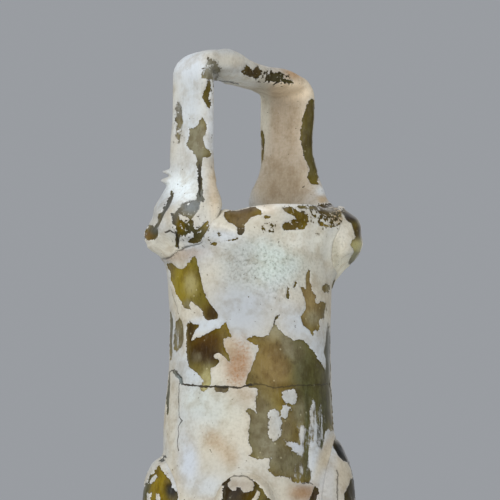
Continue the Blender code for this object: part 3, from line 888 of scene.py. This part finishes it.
def softened(name, node, grain):
    """A fine, smooth copy of an applied solid, with its seat pushed on into the wall that carries it."""
    piece = bpy.data.objects.new(name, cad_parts[node].data.copy())
    bpy.context.scene.collection.objects.link(piece)
    bpy.ops.object.select_all(action="DESELECT")
    piece.select_set(True)
    bpy.context.view_layer.objects.active = piece
    bpy.ops.object.mode_set(mode="EDIT")
    bpy.ops.mesh.select_all(action="SELECT")
    bpy.ops.mesh.remove_doubles(threshold=MERGE_DISTANCE / 2)
    bpy.ops.object.mode_set(mode="OBJECT")
    points = read(piece)
    x, y, z = points.T
    flat = z - LIP_SLOPE * x * ramp(z, RIM_HEIGHT - LEAN_LENGTH, RIM_HEIGHT)
    radius = np.hypot(x, y)
    on_side = (np.abs(radius - tube_radius(flat) - SEAT_GAP) < SEAT_REACH) & (flat < lip_centre[1])
    out = radius - lip_centre[0]
    up = flat - lip_centre[1]
    from_lip = np.hypot(out / (lip_radii[0] + SEAT_GAP), up / (lip_radii[1] + SEAT_GAP))
    on_lip = (np.abs(from_lip - 1.0) < LIP_SEAT_SHARE) & (up >= 0.0)
    on_top = (np.abs(up - lip_radii[1] - SEAT_GAP) < SEAT_REACH) & (out < 0.0)
    inwards = np.column_stack((-x / radius, -y / radius, np.zeros(len(x))))
    downwards = np.array((0.0, 0.0, -1.0))
    share = np.clip(up / lip_radii[1], 0.0, 1.0)[:, None]
    move = np.where((on_side | on_lip)[:, None], inwards * (1 - share) + downwards * share, 0.0)
    move = np.where(on_top[:, None], downwards, move)
    move_points(piece, points + move * SEAT_SINK)
    for kind, settings in (
        ("SUBSURF", {"levels": 2, "render_levels": 2}),
        ("REMESH", {"mode": "VOXEL", "voxel_size": grain}),
        ("SMOOTH", {"factor": 0.5, "iterations": 10}),
    ):
        modifier = piece.modifiers.new(kind.title(), kind)
        for key, value in settings.items():
            setattr(modifier, key, value)
        bpy.ops.object.modifier_apply(modifier=modifier.name)
    return piece


def slid(points, moves):
    """Pulls a surface, and keeps what lies round the tube at its distance from the tube's axis."""
    result = pulled(points, moves)
    radius = np.hypot(points[:, 0], points[:, 1])
    seated = (points[:, 2] < RIM_HEIGHT + LIP_HEIGHT) & (radius > TOP_RADIUS / 2)
    kept = np.where(seated, radius / np.hypot(result[:, 0], result[:, 1]), 1.0)
    result[:, :2] *= kept[:, None]
    return result


def form_of(piece):
    """A piece's surface as it stands, with its lowest and highest corners."""
    points = read(piece)
    return BVHTree.FromObject(piece, bpy.context.evaluated_depsgraph_get()), points.min(0), points.max(0)


HOLLOW_HEIGHT = 0.25
HOLLOW_FADE = 3.0
LEAST_LENGTH_SQUARED = 0.4


def fused(piece, form, reach):
    """Draws a piece out into a soft hollow where it meets another, as glass does that is pressed on hot."""
    surface, low, high = form
    points = read(piece)
    normals = read(piece, "normal")
    moved = points.copy()
    near = np.all((points > low - reach) & (points < high + reach), axis=1)
    for index in np.flatnonzero(near):
        point = Vector(points[index])
        place, facing, _, distance = surface.find_nearest(point, reach)
        if place is None:
            continue
        outside = (point - place).dot(facing) > 0.0
        share = max(0.0, 1.0 - distance / reach * (1.0 if outside else HOLLOW_FADE))
        direction = Vector(normals[index]).lerp(facing, share / 2)
        direction /= max(direction.length_squared, LEAST_LENGTH_SQUARED)
        moved[index] += direction * (reach * HOLLOW_HEIGHT * share ** 2)
    return moved


# Where the strap swells, dips, flares and was pinched, in pixels of the camera's view
HANDLE_MOVES = [
    ((192, 110), (40, 58), (0.32, 0, 0)), ((214, 178), (10, 24), (0.35, 0, 0)),
    ((222, 215), (18, 23), (4.8, 0, 0)), ((218, 214), (13, 16), (1.5, 0, 0)),
    ((212, 225), (11, 10), (1.7, 0, 0)), ((202, 236), (13, 11), (1.2, -0.7, 0)),
    ((162, 255), (11, 8), (0, -0.55, 0)), ((344, 250), (18, 38), (0, 0, 2)),
    ((361, 230), (14, 17), (1.7, 0.2, 0)), ((340, 284), (12, 9), (-0.5, 0.3, 0)),
    ((320, 172), (9, 26), (0.4, 0, 0)), ((255, 195), (12, 22), (-2.1, 0, 0)),
    ((262, 130), (14, 45), (-0.4, 0, 0)), ((237, 54), (15, 10), (0, 0.75, 0)),
    ((236, 92), (17, 9), (0, 0.9, 0)), ((258, 96), (11, 9), (0, 0.9, 0)),
    ((222, 60), (40, 30), (0, 0, 2.6)), ((217, 85), (6, 7), (0, 0.7, 0)),
    ((288, 70), (14, 8), (0, 0.5, 0)), ((320, 178), (12, 16), (0.9, 0, 0)),
    ((350, 214), (16, 12), (0.3, 1.3, 0)), ((354, 270), (16, 14), (-0.7, 1.4, 0)),
    ((150, 215), (10, 18), (2.3, 0, 0)), ((152, 250), (7, 7), (-1.1, 0, 0)),
    ((146, 236), (8, 10), (-0.45, 0, 0)), ((250, 205), (8, 6), (-0.5, 0, 0)),
    ((167, 172), (4, 3), (-2.9, 0.2, 0)), ((166, 180), (4, 4), (-1.7, 0.2, 0)),
    ((172, 150), (10, 22), (-0.35, 0, 0)), ((219, 210), (8, 8), (2, -0.5, 0)),
    ((156, 254), (9, 7), (-0.2, 0.45, 0)), ((316, 108), (9, 24), (0.45, 0, 0)),
    ((250, 192), (8, 8), (0.35, 0, 0)), ((342, 204), (7, 6), (0.1, -0.8, 0)),
    ((228, 52), (14, 9), (0, 0.3, 0)),
]
# Where the far pad stands off the tube more or less than the solid, which the seat doesn't follow
HANDLE_SWELLS = [
    ((355, 222), (10, 11), (1.20, 0.1, 0)), ((360, 240), (8, 10), (0.45, 0, 0)),
    ((345, 278), (17, 15), (-0.60, 0.3, 0)), ((218, 213), (9, 8), (1, 0, 1.3)),
    ((147, 221), (9, 12), (0.85, 0, 0)), ((153, 251), (7, 6), (-0.8, 0, 0)),
]
HANDLE_HOLLOW = 0.0030
handle = softened("weathered_handle", "basket_handle", HANDLE_GRAIN)
handle_points = slid(read(handle), HANDLE_MOVES)
off_seat = ramp(np.hypot(handle_points[:, 0], handle_points[:, 1]), TOP_RADIUS - MM, TOP_RADIUS + MM)
handle_points += (pulled(handle_points, HANDLE_SWELLS) - handle_points) * off_seat[:, None]
move_points(handle, handle_points)
plain_wall = form_of(body)
plain_handle = form_of(handle)
move_points(handle, fused(handle, plain_wall, HANDLE_HOLLOW))

HANDLE_LOSSES = [
    [(203, 72), (205, 64), (209, 58), (213, 58), (215, 62), (219, 64), (220, 70), (218, 78), (215, 82),
     (211, 80), (207, 79), (202, 78)],
    [(208, 80), (211, 80), (212, 88), (210.5, 94), (209, 99), (212, 103), (211, 107.5), (207, 107),
     (204, 102), (202, 97), (203, 93), (206, 88)],
    [(203, 117), (205, 121), (207, 124), (206, 134), (203, 136), (204, 142), (207, 148), (211, 151),
     (211, 156), (207, 158), (203.5, 156), (202, 160), (201.3, 170), (202, 185), (203, 194), (205, 199),
     (203, 202), (196, 200), (197, 194), (198, 185), (197.4, 170), (196.5, 162), (196, 156), (192, 151),
     (187, 148), (186, 145), (188, 138), (189, 133), (188, 126), (190, 128), (195, 127), (198, 125),
     (199, 120)],
    [(177, 102), (179, 102), (181, 107), (182, 118), (183, 122), (181, 130), (179, 140), (178, 145),
     (176, 138), (174.5, 128), (174, 118), (176, 110)],
    [(240, 72), (245, 70), (247, 65), (250, 66), (253, 70.5), (256, 67), (259.5, 66), (262, 70), (260, 76),
     (255, 79), (248, 76)],
    [(264, 72), (268, 71), (272, 74), (278, 73), (284, 74), (284, 78), (287.5, 80), (292, 80), (294, 83),
     (290, 84.5), (287, 82.5), (280, 82), (272, 82.5), (265, 82), (266, 77)],
    [(309, 100), (313, 98), (316, 102), (317, 120), (317, 150), (319, 175), (318.5, 184.5), (311, 183.5),
     (309, 180), (307, 173), (310, 170), (308, 165), (304, 158), (303, 150), (300, 142), (300, 133),
     (302, 125), (301, 120), (304, 113), (306, 106)],
    [(261.5, 130), (264, 135), (264, 145), (263, 157), (261, 166), (259, 172), (258, 165), (260, 150),
     (260, 138)],
    [(171, 190.5), (174, 191.5), (172, 198.5), (168, 206.5), (163.5, 214.5), (160, 222), (157, 228),
     (153.5, 227), (156, 220), (160, 212), (164.5, 204), (168.5, 196)],
    [(149, 224), (153, 226), (157.5, 229), (157.5, 236), (154, 240), (146, 240.5), (143, 238), (145, 232)],
    [(173, 214), (177, 208), (183, 202), (190, 200), (197, 199), (201, 203), (200, 208), (198, 211),
     (195, 215), (190, 218.5), (185, 216), (181, 215), (178, 213), (176, 217), (173, 222), (171.5, 219)],
    [(171, 213), (176, 211), (179, 216), (180, 222), (177, 228), (172.5, 226), (171, 220)],
    [(176, 222), (181, 220), (186, 223), (190, 219.5), (194, 221), (193, 226), (196, 229.5), (200, 227),
     (205, 222), (208, 220), (209, 225), (215, 225.5), (215, 227.5), (208, 229), (205, 233), (202, 238.5),
     (200, 243), (193, 244), (188, 243), (189, 239.5), (193, 238), (192, 232.5), (188, 234), (186, 237),
     (180, 236), (177, 234), (175, 228)],
    [(176, 234), (179, 236), (179, 243), (177.5, 249), (175, 247), (175.5, 240)],
    [(340, 209), (347, 207), (356, 211), (362, 219), (366, 229), (368, 240), (366, 250), (362, 259),
     (356, 266), (350.5, 267), (349, 263), (349.5, 260), (352, 256), (354.5, 252), (353.5, 248),
     (351, 245), (352, 241), (356, 238), (355, 232), (353.5, 227), (351.5, 223), (348, 220.5),
     (345.5, 217), (343, 213.5)],
]
HANDLE_PAINT = {
    "crust_tone": [
        ((190, 105), (16, 60), "#C6CCD0", 0.9), ((190, 64), (18, 16), "#D8DEE4", 0.9),
        # (182, 188) is a painted highlight on the near pad's upper slope
        ((182, 188), (16, 16), "#E8F0F2", 1), ((230, 60), (20, 8), "#D6CFBE", 0.8),
        # (240, 81) is painted light on the shaded underside of the bar
        ((240, 81), (26, 7), "#FAFAF4", 1, 8), ((212, 120), (5, 42), "#D6DADD", 0.8),
        ((285, 130), (30, 75), "#C9B69C", 0.9), ((264, 110), (7, 40), "#D6D2C2", 0.8),
        # (290, 90) is painted light over the warm crust on the shaded underside of the bar's right end
        ((285, 188), (34, 26), "#AE9C82", 0.85), ((290, 90), (22, 10), "#FAE6C8", 0.95),
        # (160, 247) is the near pad's cream crust, with painted light on its underside, which turns away
        # from the lamps
        ((293, 74), (9, 4), "#B07E40", 0.6, 25), ((160, 247), (24, 12), "#EEE9DA", 0.9),
        ((322, 246), (12, 26), "#F0EEDF", 0.95), ((341, 248), (12, 10), "#D8D1BC", 0.8),
        # (343, 268) is painted light on the far pad's lower right, which turns down, away from the lamps
        ((343, 268), (12, 13), "#F6F1DC", 0.95), ((342, 236), (12, 14), "#DAD5C6", 0.8),
        # (335, 252) is painted shade along the crease where the far pad meets the wall
        ((335, 252), (5, 20), "#B0AB97", 0.7), ((323, 199), (6, 5), "#A9906A", 0.8),
        ((322, 191), (6, 5), WHITE, 0.6), ((214, 190), (6, 26), "#C9B08C", 0.5),
        # A painted highlight along the far pad's top rim
        ((346, 212), (12, 4), "#EDE6DA", 0.5, 35),
    ],
    "glass_tone": [
        ((210, 68), (10, 14), "#96968C", 1), ((207, 98), (6, 16), "#61582F", 1),
        ((196, 140), (14, 22), "#88846F", 1), ((199, 180), (4, 20), "#3E3D36", 1),
        ((178, 132), (6, 24), GREY_OLIVE, 0.9), ((178, 108), (6, 10), "#8E908C", 0.9),
        ((256, 72), (18, 10), DARK_BROWN, 0.9), ((278, 78), (18, 8), "#3E3A28", 0.9),
        ((311, 140), (14, 60), "#544C28", 1), ((192, 205), (20, 12), "#7A7E7E", 1),
        ((176, 214), (5, 9), "#5E5E56", 0.9), ((201, 195), (6, 8), "#6A6B64", 1),
        ((175, 216), (7, 10), "#727166", 1), ((190, 234), (22, 12), "#3A3722", 0.9),
        ((166, 208), (10, 24), "#565650", 1), ((146, 236), (7, 6), "#80641E", 1),
        ((155, 229), (6, 7), "#56564A", 1), ((180, 225), (5, 10), "#6A5A1C", 1),
        ((360, 232), (9, 10), "#4E4120", 1), ((359, 246), (9, 8), "#B6B084", 1),
        ((356, 257), (6, 6), "#8C8A68", 0.9), ((350, 216), (10, 8), "#2A1E0A", 1),
        ((328, 208), (16, 9), "#40362A", 1),
    ],
    "specks": [
        ((210, 68), (10, 14), 1, 0.8), ((193, 229), (20, 15), 0.6, 1), ((185, 206), (16, 8), 0.4, 0.8, 10),
        ((178, 122), (6, 26), 1, 0.9), ((214, 88), (4, 10), 1, 0.9), ((272, 77), (26, 8), 1.1, 1, 10),
        ((312, 150), (8, 34), 1, 0.3), ((330, 212), (14, 12), 1, 1),
    ],
    "streaks": [
        ((210, 70), (9, 13), 1, 0.5), ((178, 122), (6, 26), 1, 0.5), ((190, 206), (16, 9), 1, 0.35),
    ],
    "grainy": [
        ((190, 100), (22, 60), 0.05, 0.9), ((232, 66), (24, 14), 0.2, 0.8, 10),
        ((340, 255), (24, 26), 0.6, 0.8),
    ],
}
HANDLE_CRACKS = [
    (0.22, 0.7, [(219, 81), (228, 82), (238, 84)]),
    (0.34, 0.9, [(176, 232), (178, 248)]),
    (0.3, 0.9, [(165, 232), (170, 231), (175, 234)]),
    (0.3, 0.8, [(199, 165), (199.5, 180), (200, 196)]),
]
# Patches out of the camera's sight: lump size in millimetres, seed, level and slope
HANDLE_HIDDEN = (6.0, 11, 0.14, 4.0)
HANDLE_BUMPS = (4.0, 6, 3, -0.8, 0.8)
PIXELS_PER_MM = 5.587
CLEAR_EDGE_MM = 0.15
OUT_OF_VIEW_ROW = 530
IN_VIEW_ROW = 505
# Glass that is drawn out hot has fine lines along it, and its crust shows them faintly
DRAWN_DEPTH = 0.08


def on_view(outline):
    """An outline in pixels as millimetres of the camera's view."""
    return np.array(outline, float) / PIXELS_PER_MM


def weather_by_view(piece, losses, islands, hidden_form, paint, bumps):
    """Weathers a piece as the camera sees it, and with like patches where it doesn't."""
    points, pixels, seen = view_of(piece)
    seen = seen * ramp(-pixels[:, 1], -OUT_OF_VIEW_ROW, -IN_VIEW_ROW)
    places = on_view(pixels)
    drawn = patched(places, map(on_view, losses), map(on_view, islands), STEEP_EDGE)
    bare = drawn * seen + hidden_losses(points, *hidden_form) * (1 - seen)
    weather(piece, places, seen, bare, paint, CLEAR_EDGE_MM, bumps)


handle_losses = [*HANDLE_LOSSES, BY_FAR_PAD]
weather_by_view(handle, handle_losses, [], HANDLE_HIDDEN, HANDLE_PAINT, HANDLE_BUMPS)
handle_cracks = [(width, strength, on_view(route)) for width, strength, route in HANDLE_CRACKS]
handle_glass = weathered_glass("weathered_handle_glass", handle_cracks, DRAWN_DEPTH)
finished(handle, handle_glass, "basket_handle")

# The lugs
# Four blobs of hot glass pressed on round the tube, darker than the wall because they are thicker.
LUG_GRAIN = 0.00024
LUG_HOLLOW = 0.0014
LUG_HIDDEN_FORM = (-0.02, 4.0)
LUG_HIDDEN_SIZE_MM = 5.0
FIRST_LUG_SEED = 20
LUG_BUMPS = (3.0, 7, 3, -0.8, 0.8)
LUGS = {
    "lug_left": {
        "moves": [((150, 468), (12, 13), (1, 0, 0))],
        "losses": [
            [(159, 465), (161, 468.5), (164, 473), (167.5, 478), (171.5, 482), (172.5, 487), (176, 491),
             (178, 495), (178, 530), (137, 530), (139, 497), (143, 486), (148, 478), (152, 473),
             (156, 468)],
            ABOVE_LEFT_LUG,
        ],
        "islands": [
            [(155.5, 474), (156.5, 478), (153.5, 481.5), (150.5, 485), (148.5, 483), (150.5, 478.5),
             (153, 475.5)],
            [(155.5, 493), (158.5, 494), (158.5, 501), (155, 499)],
            [(146, 493), (149.5, 492), (150, 501), (146, 503)],
        ],
        "glass_tone": [
            ((157, 488), (16, 26), GOLD, 0.9), ((145, 488), (4, 24), "#4C4A2C", 0.9, 15),
            # (171, 490) is a painted shadow, standing in for a hollow under the lug
            ((162, 459), (7, 6), "#5C5C56", 1), ((171, 490), (8, 9), "#0E0B05", 1),
        ],
        "crust_tone": [((175, 475), (10, 30), BLUISH_WHITE, 0.9)],
    },
    "lug_right": {
        "moves": [((336, 444), (10, 12), (0.8, 0.8, 0))],
        "losses": [
            [(329, 428), (340, 428), (352, 440), (358, 456), (361, 480), (354.5, 480), (352, 471),
             (348.5, 462), (344, 461), (339, 456), (335, 449), (331, 441)],
            [(351, 478), (354.5, 479), (356.5, 488), (357, 520), (345.5, 520), (345, 494), (348, 488),
             (350, 484)],
        ],
        "glass_tone": [((343, 450), (18, 20), "#10100C", 1, 40), ((352, 493), (10, 20), "#302608", 1)],
        "crust_tone": [((343, 475), (9, 26), "#C0B298", 0.7), ((328, 480), (7, 24), "#B4B2AE", 0.9)],
    },
    "lug_front": {
        "moves": [((241, 484), (15, 9), (0, 0.3, -0.5)), ((264, 492), (10, 14), (0.4, 0.2, 0.3))],
        "losses": [
            [(221, 530), (221, 500), (221, 492), (222, 485), (224, 480.5), (227, 477.5), (231, 477),
             (240, 477), (249, 478.5), (255, 480.5), (259, 484), (262.5, 488.5), (266.5, 494), (271, 500),
             (272, 530)],
            [(219.5, 481), (221, 476), (224, 472.5), (228, 470.5), (230, 471.5), (226, 473.5),
             (222.5, 477.5), (221, 482)],
        ],
        "islands": [
            [(229, 481), (230.5, 479), (229.5, 476.5), (230, 473), (251, 473), (251, 479), (254, 481.5),
             (255.5, 485), (253, 489), (249, 491.5), (245, 492), (242, 490), (240, 487), (237, 487),
             (236, 489.5), (232, 490), (229, 488.5), (227, 485), (227, 482.5)],
            [(258, 490.5), (256, 494), (253, 498), (250.5, 503), (250, 510), (254, 510), (256.5, 500),
             (259, 496), (260.5, 492)],
        ],
        "glass_tone": [
            ((236, 490), (26, 24), "#2C200C", 1), ((250, 496), (11, 8), "#4C3C14", 0.9),
            ((264, 495), (7, 10), OLIVE, 0.8, 30),
        ],
        "crust_tone": [((241, 486), (14, 8), "#A49A8C", 0.9)],
    },
    "lug_back": {},
}
LUG_CRACKS = [
    (0.3, 0.6, [(337.3, 470), (337.6, 486), (337.8, 506)]),
    (0.3, 0.7, [(348.5, 460), (352.5, 472), (355, 484)]),
    (0.28, 0.6, [(230, 477), (235, 475.6), (242, 475.6), (248, 477), (252, 479.5)]),
]
lug_cracks = [(width, strength, on_view(route)) for width, strength, route in LUG_CRACKS]
lug_glass = weathered_glass("weathered_lug_glass", lug_cracks)
plain_lugs = []
for seed, (node, drawing) in enumerate(LUGS.items(), FIRST_LUG_SEED):
    lug = softened("weathered_" + node, node, LUG_GRAIN)
    move_points(lug, slid(read(lug), drawing.get("moves", ())))
    plain_lugs.append(form_of(lug))
    move_points(lug, fused(lug, plain_wall, LUG_HOLLOW))
    hidden_form = (LUG_HIDDEN_SIZE_MM, seed, *LUG_HIDDEN_FORM)
    losses, islands = drawing.get("losses", ()), drawing.get("islands", ())
    weather_by_view(lug, losses, islands, hidden_form, drawing, LUG_BUMPS)
    finished(lug, lug_glass, node)

# The wall rises to meet what was pressed on it
move_points(body, fused(body, plain_handle, HANDLE_HOLLOW))
for plain_lug in plain_lugs:
    move_points(body, fused(body, plain_lug, LUG_HOLLOW))

# The floor and the light
# A plain pale table in a pale room. A large soft lamp is high on the left and a weaker one on the right.
# Another is low in front, and a faint one is behind.
ROOM_TONE = "#C4C8CE"
ROOM_LIGHT = 0.58
FLOOR_TONE = "#D2D2CE"
FLOOR_ROUGHNESS = 0.9
FLOOR_SIZE = 6.0
# Place in metres, size in metres, watts
LAMPS = {
    "key": ((-0.50, -0.62, 0.45), 0.90, 4.75),
    "fill": ((0.55, -0.50, 0.22), 0.80, 2.1),
    "front": ((-0.20, -0.80, 0.02), 0.80, 2.9),
    "back": ((0.10, 0.55, 0.40), 0.60, 0.6),
}
bpy.ops.object.select_all(action="DESELECT")
bpy.ops.mesh.primitive_plane_add(size=FLOOR_SIZE, location=(0.0, 0.0, 0.0))
floor = bpy.context.object
floor.name = "floor"
floor_paint = bpy.data.materials.new("matt_pale_floor")
floor_paint.use_nodes = True
floor_shader = floor_paint.node_tree.nodes["Principled BSDF"]
floor_shader.inputs["Base Color"].default_value = (*from_hex(FLOOR_TONE), 1.0)
floor_shader.inputs["Roughness"].default_value = FLOOR_ROUGHNESS
floor.data.materials.append(floor_paint)

world = bpy.data.worlds.new("pale_room")
bpy.context.scene.world = world
world.use_nodes = True
world.node_tree.nodes["Background"].inputs["Color"].default_value = (*from_hex(ROOM_TONE), 1.0)
world.node_tree.nodes["Background"].inputs["Strength"].default_value = ROOM_LIGHT

for lamp_name, (lamp_place, lamp_size, watts) in LAMPS.items():
    lamp_data = bpy.data.lights.new(lamp_name, "AREA")
    lamp_data.shape = "DISK"
    lamp_data.size = lamp_size
    lamp_data.energy = watts
    lamp = bpy.data.objects.new(lamp_name, lamp_data)
    bpy.context.scene.collection.objects.link(lamp)
    lamp.location = lamp_place
    lamp.rotation_euler = (LOOKED_AT - lamp.location).to_track_quat("-Z", "Y").to_euler()

bpy.context.scene.view_settings.view_transform = "Standard"
